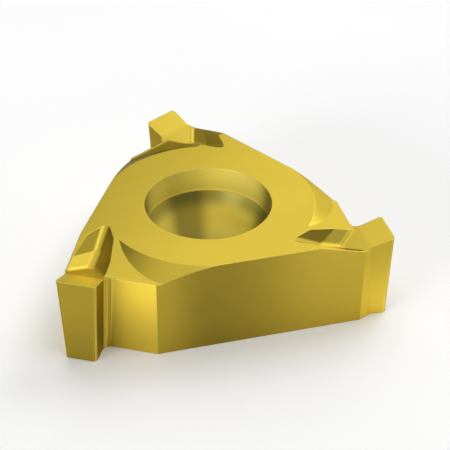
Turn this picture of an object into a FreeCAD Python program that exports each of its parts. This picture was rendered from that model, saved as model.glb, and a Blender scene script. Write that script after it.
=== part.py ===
import FreeCAD, Part
import math
import os
from FreeCAD import Vector

# Three-edged grooving insert, pressed and ground from one piece of carbide.
# Millimetres, +Z up. The origin is on the axis of the screw hole, at the seat face
# underneath. Each corner is described in its own frame: "reach" runs along the
# direction in which its tooth points, "out" is the distance from the axis towards
# the long side beside it, and the other two corners are third turns of the first.

# Blank
inscribed_circle = 9.525    # circle that touches the three long sides
thickness = 4.27            # seat face to top face
blank_edge_radius = 0.12    # upright edges of the body

# Tooth, all at the height of its cutting edge
tooth_reach = 7.23          # axis to cutting edge, along the tooth
tooth_width = 1.82          # width of the groove that it cuts
tooth_edge_drop = 0.115     # cutting edge, below the top face
tooth_corner_radius = 0.18
front_relief = 1.7          # degrees
inner_relief = 2.8          # degrees, the inner flank leans in towards the seat face
outer_relief = 2.4          # degrees, the outer flank too
outer_inset = 0.03          # long side to the outer end of the cutting edge
outer_taper = 4.5           # degrees, the outer flank falls back behind the cutting edge
shoulder_reach = 5.89       # axis to the shoulder beside the tooth, and to the step
root_radius = 0.40          # between tooth and shoulder
step_angle = 25.0           # degrees, from the long side in to the outer flank
step_root_radius = 0.15     # between step and outer flank

# Ramp that falls from the top face to the tooth
ramp_start = 3.78           # axis to the line where the ramp leaves the top face
ramp_angle = 15.4           # degrees below the top face
rake_angle = 17.8           # degrees, from the valley up to the cutting edge
valley_radius = 0.50        # where ramp and rake face meet

# Boss that stays round the screw hole
boss_diameter = 9.64
boss_slope = 30.0           # degrees below the top face

# Chip groove in ramp and tooth: a rounded vee, with a steeper vee at its inner end
groove_land = 0.08          # flat left between groove and the ramp's two edges
groove_side_angle = 31.4    # degrees, each side of the vee
groove_bottom_radius = 0.50
groove_valley_radius = 0.36 # where vee and rake face meet
runout_start = 2.65         # axis to the point of the steeper vee, on the top face
runout_angle = 23.4         # degrees below the top face
runout_side_angle = 39.0    # degrees
runout_bottom_radius = 0.40

# Screw hole
hole_diameter = 4.4         # round the screw's shank
hole_land = 0.95            # length of the straight wall, with its chamfer
hole_chamfer = 0.20         # at the seat face
recess_rim_diameter = 5.75  # on the top face
recess_foot_diameter = 5.615
recess_depth = 1.19
recess_foot_radius = 0.10   # between recess and head seat

turn_angles = (0, 120, 240) # degrees, where the three corners stand
clear = 1.0                 # how far a cutting shape stands past what it cuts
touching = 1e-4             # a gap below this counts as none


# Derived sizes
side_out = inscribed_circle / 2
edge_height = thickness - tooth_edge_drop
outer_flank = side_out - outer_inset
inner_flank = outer_flank - tooth_width
groove_middle = (side_out + inner_flank) / 2    # the ramp is as wide as the corner
blunt_out = math.sqrt(3) * shoulder_reach - inscribed_circle
front_lean = math.tan(math.radians(front_relief))
inner_lean = math.tan(math.radians(inner_relief))
outer_lean = math.tan(math.radians(outer_relief))
taper = math.tan(math.radians(outer_taper))
step_slope = math.tan(math.radians(step_angle))
step_end = shoulder_reach + (outer_inset + taper * (tooth_reach - shoulder_reach)) / (step_slope + taper)
ramp_slope = math.tan(math.radians(ramp_angle))
rake_slope = math.tan(math.radians(rake_angle))


def place(reach, out, height):
    """A point of the first corner, whose tooth points along +X beside the -Y side."""
    return Vector(reach, -out, height)


def three_turns(shape):
    """The shape at all three corners."""
    return [shape.rotated(Vector(0, 0, 0), Vector(0, 0, 1), angle) for angle in turn_angles]


def three_points(point):
    """The point at all three corners."""
    return [FreeCAD.Rotation(Vector(0, 0, 1), angle).multVec(point) for angle in turn_angles]


def prism(corners, sweep):
    """A flat outline through the corners, swept along a vector."""
    return Part.Face(Part.makePolygon(corners + corners[:1])).extrude(sweep)


def edge_through(body, point):
    """The edge of a body that passes through a point."""
    mark = Part.Vertex(point)
    return min(body.Edges, key=lambda edge: edge.distToShape(mark)[0])


def blank():
    """Prism with three long sides, three shoulders and a rough block for each tooth."""
    end = tooth_reach + clear
    rough = inner_flank - 2 * root_radius
    first = [place(end, side_out, 0),
             place(end, rough, 0),
             place(shoulder_reach, rough, 0),
             place(shoulder_reach, blunt_out, 0)]
    turned = [three_points(point) for point in first]
    plan = [points[corner] for corner in range(len(turn_angles)) for points in turned]
    return prism(plan, Vector(0, 0, thickness))


def leaning_cut(plan, lean_out):
    """Plan (reach, out) at cutting-edge height, swept up and down with a lean in or out."""
    top = thickness + clear
    rise = top - edge_height
    drop = top + clear
    corners = [place(reach, out - lean_out * rise, top) for reach, out in plan]
    return prism(corners, place(0, lean_out * drop, -drop))


def shoulder_cut():
    """Clears the end beside the tooth: the shoulder, the root and the inner flank."""
    far = tooth_reach + 2 * clear
    cut = leaning_cut([(shoulder_reach, inner_flank),
                       (far, inner_flank),
                       (far, blunt_out),
                       (shoulder_reach, blunt_out)], inner_lean)
    root = edge_through(cut, place(shoulder_reach, inner_flank, edge_height))
    return cut.makeFillet(root_radius, [root])


def flank_cut():
    """Relieves the outer flank, and runs out to the long side along a slanted step."""
    far = tooth_reach + 2 * clear
    near = shoulder_reach - clear
    flank = leaning_cut([(near, outer_flank - taper * (tooth_reach - near)),
                         (far, outer_flank + taper * (far - tooth_reach)),
                         (far, side_out + clear),
                         (near, side_out + clear)], -outer_lean)
    back = front_lean * (edge_height + clear)
    tall = thickness + 2 * clear
    reach = far - shoulder_reach
    deep = reach * step_slope
    step = prism([place(shoulder_reach - reach - back, side_out + deep, -clear),
                  place(far - back, side_out - deep, -clear),
                  place(far - back, side_out + deep, -clear)], place(front_lean * tall, 0, tall))
    cut = flank.common(step)
    root_out = side_out - step_slope * (step_end - shoulder_reach)
    root = edge_through(cut, place(step_end, root_out, edge_height))
    return cut.makeFillet(step_root_radius, [root])


def front_cut():
    """Trims the end to the cutting edge, leaning in below it."""
    far = tooth_reach + 2 * clear
    top = thickness + clear
    wide = inscribed_circle
    profile = [place(tooth_reach + front_lean * (top - edge_height), -wide, top),
               place(far, -wide, top),
               place(far, -wide, -clear),
               place(tooth_reach - front_lean * (edge_height + clear), -wide, -clear)]
    return prism(profile, place(0, 2 * wide, 0))


def round_upright_edges(body):
    """Rounds both corners of each tooth, then the blunt corners of the body."""
    tips = (place(tooth_reach, outer_flank, edge_height), place(tooth_reach, inner_flank, edge_height))
    blunt = (place(shoulder_reach, blunt_out, edge_height),)
    for points, radius in ((tips, tooth_corner_radius), (blunt, blank_edge_radius)):
        edges = [edge_through(body, turned) for point in points for turned in three_points(point)]
        body = body.makeFillet(radius, edges)
    return body


def rake_height(reach):
    """Height of the rake face, which falls from the cutting edge towards the axis."""
    return edge_height - (tooth_reach - reach) * rake_slope


def boss():
    """Cone that stays round the screw hole, under the level of the top face."""
    radius = boss_diameter / 2
    foot = radius + thickness / math.tan(math.radians(boss_slope))
    # As a spline surface the same cone meets the upright sides in splines, not hyperbolas
    cone = Part.makeCone(foot, radius, thickness).toNurbs()
    collar = Part.makeCylinder(radius, 2 * clear, Vector(0, 0, thickness))
    return cone.fuse(collar)


def ramp_cut():
    """Ramp and rake face of one corner, less the boss."""
    valley = ((tooth_edge_drop + ramp_slope * ramp_start + rake_slope * tooth_reach)
              / (ramp_slope + rake_slope))
    far = tooth_reach + 2 * clear
    wide = inscribed_circle
    top = thickness + clear
    lowest = place(valley, -wide, rake_height(valley))
    cut = prism([place(ramp_start, -wide, thickness),
                 lowest,
                 place(far, -wide, rake_height(far)),
                 place(far, -wide, top),
                 place(ramp_start, -wide, top)], place(0, 2 * wide, 0))
    cut = cut.makeFillet(valley_radius, [edge_through(cut, lowest + place(0, wide, 0))])
    return cut.cut(boss())


def vee(start, angle, side_angle, bottom_radius):
    """Rounded vee over the middle of the ramp; its point leaves the top face at start."""
    slope = math.tan(math.radians(angle))
    length = tooth_reach + 2 * clear - start
    tall = slope * length + thickness
    wide = tall / math.tan(math.radians(side_angle))
    groove = prism([place(start, groove_middle, thickness),
                    place(start, groove_middle + wide, thickness + tall),
                    place(start, groove_middle - wide, thickness + tall)],
                   place(length, 0, -slope * length))
    bottom = place(start + length / 2, groove_middle, thickness - slope * length / 2)
    return groove.makeFillet(bottom_radius, [edge_through(groove, bottom)])


def chip_groove():
    """Rounded vee along the ramp, stopped by the rake face and by the steeper runout."""
    half_width = (side_out - inner_flank) / 2 - groove_land
    depth = half_width * math.tan(math.radians(groove_side_angle))
    start = ramp_start - depth / ramp_slope
    far = tooth_reach + clear
    top = thickness + clear
    along = vee(start, ramp_angle, groove_side_angle, groove_bottom_radius)
    runout = vee(runout_start, runout_angle, runout_side_angle, runout_bottom_radius)
    over_rake = prism([place(start, 0, rake_height(start)),
                       place(far, 0, rake_height(far)),
                       place(far, 0, top),
                       place(start, 0, top)], place(0, inscribed_circle, 0))
    groove = along.common(runout).common(over_rake)
    valley = [edge for edge in groove.Edges
              if all(abs(v.Z - rake_height(v.X)) < touching for v in edge.Vertexes)
              and min(v.X for v in edge.Vertexes) < far - touching]
    return groove.makeFillet(groove_valley_radius, valley)


def arc(start, finish, centre):
    """The shorter arc between two points round a centre."""
    crown = centre + ((start - centre) + (finish - centre)).normalize() * (start - centre).Length
    return Part.Arc(start, crown, finish).toShape()


def screw_hole():
    """Stepped hole: chamfer, straight wall, arched head seat and tapered recess."""
    hole = hole_diameter / 2
    foot = Vector(recess_foot_diameter / 2, 0, thickness - recess_depth)
    rim = Vector(recess_rim_diameter / 2, 0, thickness)
    wall = (rim - foot).normalize()
    inwards = Vector(-wall.z, 0, wall.x)

    # The seat leaves the straight wall upright and reaches the foot of the recess
    seat_start = Vector(hole, 0, hole_land)
    chord = foot - seat_start
    seat_radius = chord.Length ** 2 / (2 * chord.x)
    seat_centre = seat_start + Vector(seat_radius, 0, 0)

    # A small arc touches seat and recess wall where they meet
    beside = foot + inwards * recess_foot_radius - seat_centre
    back = beside.dot(wall)
    span = seat_radius + recess_foot_radius
    climb = math.sqrt(back ** 2 + span ** 2 - beside.Length ** 2) - back
    foot_centre = seat_centre + beside + wall * climb
    on_wall = foot_centre - inwards * recess_foot_radius
    on_seat = seat_centre + (foot_centre - seat_centre) * (seat_radius / span)

    top = rim + wall * (clear / wall.z)
    chamfer_top = Vector(hole, 0, hole_chamfer)
    low = Vector(hole + hole_chamfer + clear, 0, -clear)
    wire = Part.Wire([
        Part.makeLine(Vector(0, 0, -clear), low),
        Part.makeLine(low, chamfer_top),
        Part.makeLine(chamfer_top, seat_start),
        arc(seat_start, on_seat, seat_centre),
        arc(on_seat, on_wall, foot_centre),
        Part.makeLine(on_wall, top),
        Part.makeLine(top, Vector(0, 0, top.z)),
        Part.makeLine(Vector(0, 0, top.z), Vector(0, 0, -clear))])
    return Part.Face(wire).revolve(Vector(0, 0, 0), Vector(0, 0, 1), 360)


def insert():
    """The whole insert, cut from its blank."""
    body = blank()
    for cut in (shoulder_cut(), flank_cut(), front_cut()):
        body = body.cut(three_turns(cut))
    body = round_upright_edges(body.removeSplitter())
    for cut in (ramp_cut(), chip_groove()):
        body = body.cut(three_turns(cut))
    return body.cut(screw_hole()).removeSplitter()


solid = insert()
os.makedirs("parts", exist_ok=True)
solid.exportStep("parts/grooving_insert.step")
box = solid.BoundBox
print(f"grooving_insert: {len(solid.Solids)} solid, {len(solid.Faces)} faces, valid {solid.isValid()}")
print(f"size {box.XLength:.3f} x {box.YLength:.3f} x {box.ZLength:.3f} mm, volume {solid.Volume:.2f} mm3")
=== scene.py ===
# %% [markdown]
# A coated grooving insert on a white table
#
# The object is one small piece of sintered carbide, about 15 mm across, that a screw
# clamps into a lathe tool. Its whole shape comes ready made from the CAD model, so this
# lesson is about the other half of a product picture: the camera, the table it lies on,
# the light around it, and the golden coating that makes it look like metal.
# Everything is in metres, so the insert is really 0.015 long in Blender.

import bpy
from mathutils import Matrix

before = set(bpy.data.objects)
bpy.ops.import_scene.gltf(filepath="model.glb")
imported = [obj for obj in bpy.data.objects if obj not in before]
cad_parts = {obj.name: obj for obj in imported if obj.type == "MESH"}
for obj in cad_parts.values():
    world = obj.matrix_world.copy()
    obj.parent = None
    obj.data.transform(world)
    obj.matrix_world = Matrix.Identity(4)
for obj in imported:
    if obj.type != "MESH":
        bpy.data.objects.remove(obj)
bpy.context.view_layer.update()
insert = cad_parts["grooving_insert"]

# %% Tools for the rest of the script
import math

import bpy
from mathutils import Vector

mm = 0.001
scene = bpy.context.scene


def direction(azimuth, elevation):
    """Unit vector towards a point of the sky; azimuth 0 is the -Y side, elevation is degrees up."""
    a = math.radians(azimuth)
    e = math.radians(elevation)
    return Vector((math.sin(a) * math.cos(e), -math.cos(a) * math.cos(e), math.sin(e)))


print("a millimetre is", mm, "in Blender, and azimuth 90 is", list(map(round, direction(90, 0))))

# %% [markdown]
# The camera
#
# A small object photographed with a long lens shows little perspective, but some is
# there: the near tooth is a little larger than the far one. The place of the camera is
# given the way a photographer would say it, as a point to aim at, two angles and a
# distance. The near clipping distance has to be shorter than the 72 mm to the insert,
# because Blender's default of 100 mm would cut the insert away.

# %% Camera
camera_azimuth = -15.2
camera_elevation = 34.63
camera_distance = 72.1 * mm
camera_aim = Vector((1.103, 1.172, 2.057)) * mm
lens_length = 123.7     # on Blender's 36 mm wide sensor
nearest_seen = 1 * mm
farthest_seen = 10.0

camera = bpy.data.objects.new("camera", bpy.data.cameras.new("camera"))
scene.collection.objects.link(camera)
camera_back = direction(camera_azimuth, camera_elevation)
camera.location = camera_aim + camera_back * camera_distance
camera.rotation_mode = "QUATERNION"
camera.rotation_quaternion = (-camera_back).to_track_quat("-Z", "Y")
camera.data.lens = lens_length
camera.data.clip_start = nearest_seen
camera.data.clip_end = farthest_seen
scene.camera = camera
scene.view_settings.view_transform = "Standard"
print("camera stands at", [round(c / mm, 2) for c in camera.location], "mm")

# %% [markdown]
# Materials from nodes
#
# Both materials of this scene, paper and coating, are built from nodes, small boxes that
# each do one sum for every point of a surface. Adding them one by one takes many lines,
# so a few helpers do it. They always add to the material that was started last. A noise
# is a soft random pattern, mostly between 0.3 and 0.7, and its seed only moves it, so each
# render gives the same one.

# %% Node helpers
tree = None                         # the nodes of the material that is being built
noise_low, noise_high = 0.3, 0.7    # most of a noise lies between these


def start_material(name):
    """A new material, and its shader; the helpers below add to it until the next one is started."""
    global tree
    made = bpy.data.materials.new(name)
    made.use_nodes = True
    tree = made.node_tree
    return made, tree.nodes["Principled BSDF"]


def connect(value, socket):
    """Links an output to a socket, or writes a plain value into it."""
    if isinstance(value, bpy.types.NodeSocket):
        tree.links.new(value, socket)
    else:
        socket.default_value = value


def node(kind, settings=None, **inputs):
    """Adds a node with its settings and inputs; i0, i1 and so on name inputs by their number."""
    made = tree.nodes.new(kind)
    for key, value in (settings or {}).items():
        setattr(made, key, value)
    for key, value in inputs.items():
        connect(value, made.inputs[int(key[1:]) if key[1:].isdigit() else key.replace("_", " ")])
    return made


def math_node(operation, *values):
    """One sum of up to three values."""
    return node("ShaderNodeMath", {"operation": operation},
                **{f"i{k}": value for k, value in enumerate(values)}).outputs[0]


def ramp(value, low, high, at_low=0.0, at_high=1.0):
    """Goes smoothly from at_low to at_high while value goes from low to high."""
    return node("ShaderNodeMapRange", {"interpolation_type": "SMOOTHSTEP"}, Value=value,
                From_Min=low, From_Max=high, To_Min=at_low, To_Max=at_high).outputs["Result"]


def mix(factor, first, second, kind="FLOAT"):
    """The first value where factor is 0, the second where it is 1; kind RGBA mixes colours."""
    first_input, second_input, output = {"FLOAT": (2, 3, 0), "RGBA": (6, 7, 2)}[kind]
    return node("ShaderNodeMix", {"data_type": kind}, Factor=factor,
                **{f"i{first_input}": first, f"i{second_input}": second}).outputs[output]


def noise(place, size, detail, seed):
    """Noise from 0 to 1; size is that of its spots along X, Y and Z."""
    moved = node("ShaderNodeVectorMath", {"operation": "MULTIPLY_ADD"}, i0=place,
                 i1=[1 / length for length in size], i2=(seed, 0.37 * seed, 1.7 * seed)).outputs[0]
    return node("ShaderNodeTexNoise", None, Vector=moved, Scale=1.0, Detail=detail).outputs[0]


print("helpers: start_material, connect, node, math_node, ramp, mix, noise")

# %% [markdown]
# Table
#
# Metal has hardly any colour of its own: it shows what stands around it, tinted. So the
# table matters twice, once as the background and once as what every upright side of the
# insert reflects. It is one large sheet of matt white paper, just under the seat face.
# Paper is never quite even: it is a trace darker in clouds the size of a fingertip, and
# its fibres make it finely uneven, which is only a bump and so leaves the colour alone.

# %% Table
table_size = 4.0
table_gap = 0.01 * mm
table_white = 0.96
cloud_size = 12 * mm
cloud_depth = 0.015
fibre_size = 0.25 * mm
fibre_depth = 0.01 * mm
fibre_strength = 0.5
paper_roughness = 0.9

table_mesh = bpy.data.meshes.new("table")
half = table_size / 2
table_mesh.from_pydata([(-half, -half, 0), (half, -half, 0), (half, half, 0), (-half, half, 0)],
                       [], [(0, 1, 2, 3)])
table = bpy.data.objects.new("table", table_mesh)
table.location.z = -table_gap
scene.collection.objects.link(table)

paper, sheet = start_material("white_paper")
on_table = node("ShaderNodeTexCoord").outputs["Object"]
clouds = noise(on_table, (cloud_size,) * 3, detail=2.0, seed=1.0)
fibres = noise(on_table, (fibre_size,) * 3, detail=3.0, seed=5.0)
connect(ramp(clouds, noise_low, noise_high, table_white - cloud_depth, table_white),
        sheet.inputs["Base Color"])
connect(node("ShaderNodeBump", None, Strength=fibre_strength, Distance=fibre_depth,
             Height=fibres).outputs[0], sheet.inputs["Normal"])
sheet.inputs["Roughness"].default_value = paper_roughness
sheet.inputs["Specular IOR Level"].default_value = 0.0
table_mesh.materials.append(paper)
print("table is", table_size, "m wide, with", len(tree.nodes), "nodes in its paper")

# %% [markdown]
# Light
#
# The lamps are large and soft, since small ones would show as dots on the metal. The
# strongest stands low on the left front, where it lights the sides that the camera sees. A
# high one on the right, with a weaker one on the left, opens up the grooves. The flat top
# mirrors what is opposite to the camera, so four more behind the insert draw a gentle
# gradient across it, brightest on the right. Together they light a matt white table to
# just under white. A weak even glow from the room keeps the deepest corners from going
# black.

# %% World
room_light = 0.12

world = bpy.data.worlds.new("room")
scene.world = world
world.use_nodes = True
background = world.node_tree.nodes["Background"]
background.inputs["Color"].default_value = (room_light, room_light, room_light, 1)
print("room glow:", room_light)

# %% Lamps
lamp_distance = 0.4
lamp_width = 0.22
low_lamp_height = 0.16      # less than its width, so that it clears the table


def softbox(name, azimuth, elevation, power, height=lamp_width):
    """A flat lamp that faces the insert from one direction of the sky; power in watts."""
    lamp = bpy.data.objects.new(name, bpy.data.lights.new(name, "AREA"))
    lamp.data.shape = "RECTANGLE"
    lamp.data.size = lamp_width
    lamp.data.size_y = height
    lamp.data.energy = power
    towards = direction(azimuth, elevation)
    lamp.location = towards * lamp_distance
    lamp.rotation_mode = "QUATERNION"
    lamp.rotation_quaternion = towards.to_track_quat("Z", "Y")
    scene.collection.objects.link(lamp)
    return lamp


lamps = [
    softbox("low_left_lamp", 300, 13, 0.75, height=low_lamp_height),
    softbox("high_right_lamp", 45, 68, 0.50),
    softbox("high_left_lamp", 270, 68, 0.19),
    softbox("right_back_lamp", 120, 45, 0.49),
    softbox("low_back_lamp", 150, 25, 0.23),
    softbox("back_lamp", 180, 45, 0.20),
    softbox("high_back_lamp", 180, 68, 0.18),
]
print("lamps:", len(lamps), "with", round(sum(lamp.data.energy for lamp in lamps), 2), "W together")

# %% [markdown]
# Golden coating
#
# Insert coatings of this kind are a few thousandths of a millimetre of hard golden
# ceramic, which behaves like a tinted metal. The body was pressed and sintered and its
# outside was then ground, so two finishes lie under the same coating: pressed faces with a
# fine grain, and ground sides that are a little duller and carry faint lines along the
# way the wheel went. Each mask below is 1 on such a part and 0 elsewhere, and is worked
# out from the place and the slope of the surface, so it needs no painting.

# %% Masks
hole_radius = 2.95 * mm     # a little more than the rim, since level faces don't count
level_above = 0.9           # levelness is 1 on a level face and 0 on an upright one
upright_below = 0.2

coating, coat = start_material("golden_coating")
place = node("ShaderNodeTexCoord").outputs["Object"]
normal = node("ShaderNodeNewGeometry").outputs["True Normal"]
slope = node("ShaderNodeSeparateXYZ", None, Vector=normal)
spot = node("ShaderNodeSeparateXYZ", None, Vector=place)
height = spot.outputs["Z"]
from_axis = math_node("ADD", math_node("MULTIPLY", spot.outputs["X"], spot.outputs["X"]),
                      math_node("MULTIPLY", spot.outputs["Y"], spot.outputs["Y"]))
from_axis = math_node("SQRT", from_axis)
levelness = math_node("ABSOLUTE", slope.outputs["Z"])
in_hole = math_node("MULTIPLY", math_node("LESS_THAN", from_axis, hole_radius),
                    math_node("LESS_THAN", levelness, level_above))
upright = math_node("LESS_THAN", levelness, upright_below)
not_upright = math_node("SUBTRACT", 1.0, upright)
ground = math_node("MULTIPLY", upright, math_node("SUBTRACT", 1.0, in_hole))
print("masks: in_hole, upright, not_upright, ground")

# %% [markdown]
# Painted light and shade on the coating
#
# The coating's colour is painted with light and shade that stand in for the reflections
# and shadows of its surroundings. This painted light is a number that the colour is
# multiplied by. It starts at 1 and changes slowly over the pressed faces, and the steps
# after that add painted light or painted shade to it, part by part. The parts repeat
# with every third of a turn, so each corner gets two lengths of its own to tell them
# apart: `along` runs from the axis out to its tooth, and `across` runs square to that.

# %% Slow painted gradient
slow_direction = -45        # degrees from +X
slow_start = -7.0 * mm      # in that direction from the axis
slow_end = 3.0 * mm
slow_tones = (-0.2, 0.07)


def measured(vector, angle):
    """The length of a vector along a level direction that stands at this angle from +X."""
    a = math.radians(angle)
    return node("ShaderNodeVectorMath", {"operation": "DOT_PRODUCT"}, i0=vector,
                i1=(math.cos(a), math.sin(a), 0)).outputs["Value"]


# painted light and shade on the pressed faces: darker towards the back left, lighter towards the
# front right
painted_slow_gradient = ramp(measured(place, slow_direction), slow_start, slow_end, *slow_tones)
painted_light = math_node("MULTIPLY_ADD", not_upright, painted_slow_gradient, 1.0)
print("slow drift of the pressed faces runs at", slow_direction, "degrees")

# %% Corners
turns = (0, 120, 240)       # degrees from +X, where the teeth point

corners = [(turn, measured(place, turn), measured(place, turn + 90)) for turn in turns]
print("corners:", len(corners))

# %% [markdown]
# Ground sides
#
# The ground sides are told apart by the way they face, and each gets painted light and
# shade of its own in place of what it would reflect. The fronts and shoulders face out
# along the tooth, and the shoulder starts behind a rounded root beside it. The long sides
# face away across it and end in the outer flank of the tooth. The inner flanks face in,
# and a narrow step stands between a long side and its flank. A rounded corner between two
# of them faces none of these ways, so the sum of the masks, `flat_side`, will show later
# where the rounded corners get their painted highlight.

# %% Fronts and shoulders
facing = 0.97                   # how well a side has to face a direction, where 1 is fully
side_foot = 0.3 * mm            # heights between which the tone of a side changes
side_top = 3.8 * mm
front_tones = (-0.2, -0.12)     # at the foot and at the top
shoulder_tones = (0.25, 1.1)
tooth_side = -2.95 * mm         # across, where the tooth ends
shoulder_start = -2.6 * mm      # across, where the root beside the tooth ends
shoulder_pale = -0.8 * mm       # across, where the shoulder is palest
across_tones = (-0.1, 0.1)      # at the root and where it is palest

flat_side = 0.0


def faces(angle):
    """1 where a side faces this angle from +X, and 0 elsewhere."""
    return math_node("GREATER_THAN", measured(normal, angle), facing)


def tone_side(mask, change):
    """Adds painted light or shade to the sides that a mask picks, and counts them as flat."""
    global painted_light, flat_side
    painted_light = math_node("MULTIPLY_ADD", mask, change, painted_light)
    flat_side = math_node("ADD", flat_side, mask)


for turn, along, across in corners:
    # painted shade on the fronts, deepest at the foot, and a painted highlight on the shoulders
    # that grows towards the top
    painted_front_shade = ramp(height, side_foot, side_top, *front_tones)
    painted_shoulder_highlight = math_node("ADD", ramp(height, side_foot, side_top, *shoulder_tones),
                               ramp(across, shoulder_start, shoulder_pale, *across_tones))
    on_shoulder = ramp(across, tooth_side, shoulder_start)
    tone_side(faces(turn), mix(on_shoulder, painted_front_shade, painted_shoulder_highlight))
print("a shoulder goes from", shoulder_tones[0], "at its foot to", shoulder_tones[1], "at its top")

# %% Long sides and outer flanks
near_reach, near_tones = (-1.0 * mm, 4.5 * mm), (-0.31, 0.22)   # towards the tooth
far_reach, far_tones = (-1.2 * mm, -3.5 * mm), (0.0, 0.36)      # towards the corner behind
flank_start = 6.0 * mm                                          # along
flank_blend = 0.3 * mm
flank_tones = (0.6, 0.0)                                        # at the foot and at the top

for turn, along, across in corners:
    # painted shade on a long side, deepest a little behind the axis, and painted light towards both
    # ends and low on the outer flank
    painted_side_light_and_shade = math_node("ADD", ramp(along, *near_reach, *near_tones),
                           ramp(along, *far_reach, *far_tones))
    painted_flank_light = math_node("MULTIPLY", ramp(along, flank_start, flank_start + flank_blend),
                            ramp(height, side_foot, side_top, *flank_tones))
    tone_side(faces(turn - 90), math_node("ADD", painted_side_light_and_shade, painted_flank_light))
print("a long side is deepest", round(near_reach[0] / mm, 1), "mm along, and pale at both ends")

# %% Inner flanks and steps
inner_tone = -0.3
step_angle = 25             # degrees, between a long side and the step beside it
step_tones = (0.8, 0.4)

for turn, along, across in corners:
    # painted shade on the inner flanks, and painted light on the steps, palest at the foot
    tone_side(faces(turn + 90), inner_tone)
    tone_side(faces(turn - 90 + step_angle), ramp(height, side_foot, side_top, *step_tones))
print("a step stands", step_angle, "degrees off its long side")

# %% [markdown]
# Pressed parts
#
# The tooth ends, the crescents of the cone round the boss and the two walls of each chip
# groove are pressed. Each gets painted light or shade in place of what it would reflect,
# by a different amount at every corner, so each of these has a number of its own for each
# corner. The cone is found by its normal, which leans out from the axis by the sine of 30
# degrees. A wall of a groove is found by its lean across the tooth, where one wall leans
# in and the other leans out.

# %% Cone round the boss
cone_lean = math.sin(math.radians(30))
lean_margin = 0.08
crescent_start = 2.4 * mm               # across
crescent_full = -1.0 * mm
crescent_tones = (0.6, -0.7, -0.05)     # one for each corner

outward = math_node("ADD", math_node("MULTIPLY", slope.outputs["X"], spot.outputs["X"]),
                    math_node("MULTIPLY", slope.outputs["Y"], spot.outputs["Y"]))
outward = math_node("DIVIDE", outward, from_axis)
on_cone = math_node("MULTIPLY", math_node("GREATER_THAN", outward, cone_lean - lean_margin),
                    math_node("LESS_THAN", outward, cone_lean + lean_margin))
on_cone = math_node("MULTIPLY", on_cone, not_upright)
for (turn, along, across), crescent_tone in zip(corners, crescent_tones):
    in_reach = math_node("MULTIPLY", math_node("GREATER_THAN", along, 0.0),
                         math_node("GREATER_THAN", across, tooth_side))
    on_crescent = math_node("MULTIPLY", math_node("MULTIPLY", on_cone, in_reach),
                            ramp(across, crescent_start, crescent_full))
    # painted light or shade on the crescent of each corner
    painted_light = math_node("MULTIPLY_ADD", on_crescent, crescent_tone, painted_light)
print("the cone's normal leans out by", round(cone_lean, 2))

# %% Tooth ends
tooth_tones = (0.12, 0.12, 0.6)

for (turn, along, across), tooth_tone in zip(corners, tooth_tones):
    on_tooth = math_node("MULTIPLY", not_upright,
                         ramp(along, flank_start, flank_start + flank_blend))
    # painted light on the tooth ends, most at the third corner
    painted_light = math_node("MULTIPLY_ADD", on_tooth, tooth_tone, painted_light)
print("tones of the tooth ends:", tooth_tones)

# %% Walls of the chip grooves
groove_start = 1.5 * mm                                     # along
wall_lean = (0.12, 0.3)                                     # where a wall starts, and is full
groove_tones = ((-0.65, -0.3), (0.6, 0.0), (0.25, -0.1))    # leaning in, leaning out

for (turn, along, across), wall_tones in zip(corners, groove_tones):
    on_ramp = math_node("MULTIPLY", math_node("GREATER_THAN", along, groove_start),
                        math_node("LESS_THAN", across, tooth_side))
    on_ramp = math_node("MULTIPLY", on_ramp, not_upright)
    for wall_direction, wall_tone in zip((turn + 90, turn - 90), wall_tones):
        on_wall = ramp(measured(normal, wall_direction), *wall_lean)
        on_wall = math_node("MULTIPLY", on_wall, on_ramp)
        # painted light or shade on each wall of the groove
        painted_light = math_node("MULTIPLY_ADD", on_wall, wall_tone, painted_light)
print("the right groove has the tones", groove_tones[0])

# %% [markdown]
# Grain, grinding lines and edges
#
# Up close no face is quite even. Pressed faces keep the fine grain of the powder, and the
# wheel leaves faint level lines on ground sides, so the noise for those is stretched: it
# changes slowly across and fast with height. Both are only a few thousandths of a
# millimetre deep and go into a Bump node. The Bevel node then rounds every sharp edge
# by a few hundredths, which makes the thin bright lines along the edges. Where the rounded
# normal departs from the real one there is an edge. It is made a little smoother, and a
# painted highlight makes its colour paler, more so on the rounded corners between sides.

# %% Grain and lines
grain_size = 0.06 * mm
line_pitch = 0.05 * mm
line_length = 3 * mm
patch_size = 2.5 * mm

grain = noise(place, (grain_size,) * 3, detail=2.0, seed=3.0)
lines = noise(place, (line_length, line_length, line_pitch), detail=3.0, seed=7.0)
patches = noise(place, (patch_size,) * 3, detail=2.0, seed=11.0)
relief = mix(ground, grain, lines)
print("grain", round(grain_size / mm, 3), "mm, lines", round(line_pitch / mm, 3), "mm apart")

# %% Edges
edge_radius = 0.035 * mm
edge_samples = 6
edge_starts, edge_full = 0.999, 0.95    # how well the rounded normal agrees with the real one
edge_highlight_strength = 0.4
corner_highlight_strength = 0.75

rounded = node("ShaderNodeBevel", {"samples": edge_samples}, Radius=edge_radius).outputs[0]
agreement = node("ShaderNodeVectorMath", {"operation": "DOT_PRODUCT"}, i0=rounded,
                 i1=node("ShaderNodeNewGeometry").outputs["Normal"]).outputs["Value"]
edge = ramp(agreement, edge_starts, edge_full)
rounded_corner = math_node("MULTIPLY", ground, math_node("SUBTRACT", 1.0, flat_side))
# painted highlight: a paler colour along the edges and on the rounded corners between sides
painted_edge_highlight = math_node("MULTIPLY_ADD", edge, edge_highlight_strength,
                 math_node("MULTIPLY", rounded_corner, corner_highlight_strength))
print("edges look rounded by", round(edge_radius / mm, 3), "mm")

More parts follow.
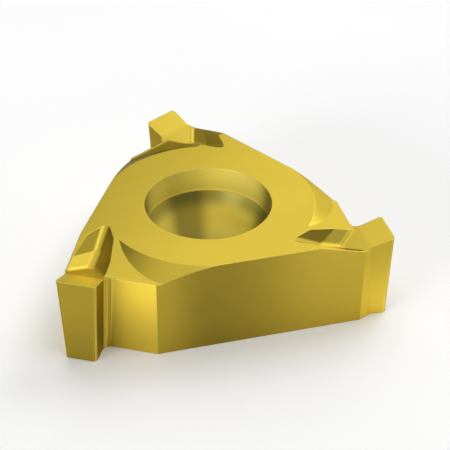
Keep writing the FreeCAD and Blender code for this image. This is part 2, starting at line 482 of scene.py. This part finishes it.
# %% [markdown]
# Inside the hole
#
# Inside the screw hole the coating is duller, and its colour is painted paler, with painted
# light and shade of its own. One side is matt and pale, a painted light that the far wall
# mirrors; two streaks across from it are painted reflections, and the parts between carry
# painted shade, most of all at both ends of the matt side. `closeness` says how near a
# point of the wall lies to a direction: 1 is right there, and -1 is on the other side of
# the hole. The recess above and the screw seat below have painted tones of their own, and
# the small radius between them carries a painted highlight.

# %% Sides of the hole
matt_direction = 255                # degrees from +X
matt_reach = (-0.2, 0.4)            # closeness at which the matt side starts and is full
shade_direction = 262
far_shade = (-0.75, 0.0)            # where the deep ends start and are full, from the far side
near_shade = (0.45, 0.2)            # and from the matt side
pale_directions = (46, 152)
pale_reach = (0.68, 0.99)


def closeness(angle):
    """1 on the side of the hole that stands at this angle from +X, -1 on the other side."""
    return math_node("DIVIDE", measured(place, angle), from_axis)


matt = ramp(closeness(matt_direction), *matt_reach)
to_shade = closeness(shade_direction)
shade = math_node("MULTIPLY", ramp(to_shade, *far_shade), ramp(to_shade, *near_shade))
# painted light: the pale matt side, and two pale streaks that stand in for reflections
pale = matt
for pale_direction in pale_directions:
    pale = math_node("ADD", pale, ramp(closeness(pale_direction), *pale_reach))
print("the hole has", len(pale_directions), "pale streaks")

# %% Screw seat
seat_tones = (0.45, 1.0)                                        # between the streaks, on them
seat_low, low_tones = (0.5 * mm, 1.8 * mm), (0.75, 1.0)         # painted shade, deeper towards the bore
seat_high, high_losses = (2.2 * mm, 2.9 * mm), (0.0, 0.5)       # and painted shade under the small radius

seat_painted_shade = math_node("SUBTRACT", ramp(height, *seat_low, *low_tones),
                       ramp(height, *seat_high, *high_losses))
seat_tone = math_node("MULTIPLY", ramp(pale, 0.0, 1.0, *seat_tones), seat_painted_shade)
print("the seat is palest", round(seat_low[1] / mm, 1), "to", round(seat_high[0] / mm, 1), "mm up")

# %% Recess
radius_height = 3.12 * mm                                       # of the small radius at its foot
recess_tones = (0.9, 1.0)
dip_reach, dip_tones = (0.7 * mm, 0.15 * mm), (0.0, -0.08)      # painted shade, at heights above the radius
radius_highlight_reach, radius_highlight_tones = (0.12 * mm, 0.05 * mm), (0.0, 0.12)      # its painted highlight
radius_blend = 0.05 * mm

above_radius = math_node("SUBTRACT", height, radius_height)
recess_painted_light_and_shade = math_node("ADD", ramp(above_radius, *dip_reach, *dip_tones),
                         ramp(above_radius, *radius_highlight_reach, *radius_highlight_tones))
recess_tone = math_node("ADD", ramp(pale, 0.0, 1.0, *recess_tones), recess_painted_light_and_shade)
in_recess = ramp(above_radius, -radius_blend, 0.0)
print("the recess starts", round(radius_height / mm, 2), "mm up")

# %% Tone of the hole
shade_tones = (0.6, 0.22)           # on the seat and in the recess

# painted shade at both deep ends
shade_tone = ramp(shade, 0.0, 1.0, 1.0, mix(in_recess, *shade_tones))
hole_tone = math_node("MULTIPLY", mix(in_recess, seat_tone, recess_tone), shade_tone)
print("tones at the deep ends, on the seat and in the recess:", shade_tones)

# %% [markdown]
# Putting the coating together
#
# Now the parts meet in one shader. The colour is gold times the painted light and shade,
# with a little random mottle, paler under the painted highlight of the edges, and inside
# the hole it has the painted tone of its own. The roughness is a little different on each
# finish, and polished edges are smoother. At a glancing angle every metal turns towards
# white, but this one keeps some warmth, which the specular tint gives.

# %% Colour
coat_colour = (0.475, 0.354, 0.040)
edge_highlight_colour = (0.95, 0.80, 0.22, 1)
# pale colours inside the hole, which carry painted light there
hole_colour = (1.0, 0.88, 0.21, 1)
matt_colour = (1.0, 0.85, 0.18, 1)
patch_strength = 0.02


def scaled(colour, tone):
    """A colour multiplied by a tone."""
    return node("ShaderNodeVectorMath", {"operation": "SCALE"}, i0=colour, Scale=tone).outputs[0]


# painted light and shade, with a small random mottle from the patches
tone = math_node("ADD", painted_light,
                 ramp(patches, noise_low, noise_high, -patch_strength, patch_strength))
outside_colour = mix(painted_edge_highlight, scaled(coat_colour, tone), edge_highlight_colour, "RGBA")
# inside the hole: pale colours times the painted light and shade of the hole
inside_colour = scaled(mix(matt, hole_colour, matt_colour, "RGBA"), hole_tone)
connect(mix(in_hole, outside_colour, inside_colour, "RGBA"), coat.inputs["Base Color"])
print("colour of the new coating:", coat_colour)

# %% Gloss
pressed_roughness = 0.38
ground_roughness = 0.52
hole_roughness = 0.42
relief_roughness = 0.02
edge_polish = 0.10
outside_metallic = 0.9
hole_metallic = 0.4
matt_metallic = 0.0
glancing_tint = (0.88, 0.77, 0.44, 1)
relief_strength = 0.12
relief_depth = 0.0015 * mm

roughness = ramp(ground, 0.0, 1.0, pressed_roughness, ground_roughness)
roughness = mix(in_hole, roughness, hole_roughness)
roughness = math_node("ADD", roughness, ramp(relief, noise_low, noise_high,
                                             -relief_roughness, relief_roughness))
roughness = math_node("MULTIPLY_ADD", edge, -edge_polish, roughness)
connect(roughness, coat.inputs["Roughness"])
connect(mix(in_hole, outside_metallic, mix(matt, hole_metallic, matt_metallic)),
        coat.inputs["Metallic"])
coat.inputs["Specular Tint"].default_value = glancing_tint
bump = node("ShaderNodeBump", None, Strength=relief_strength, Distance=relief_depth,
            Height=relief, Normal=rounded)
connect(bump.outputs[0], coat.inputs["Normal"])
insert.material_slots[0].material = coating
print("coating nodes:", len(tree.nodes))
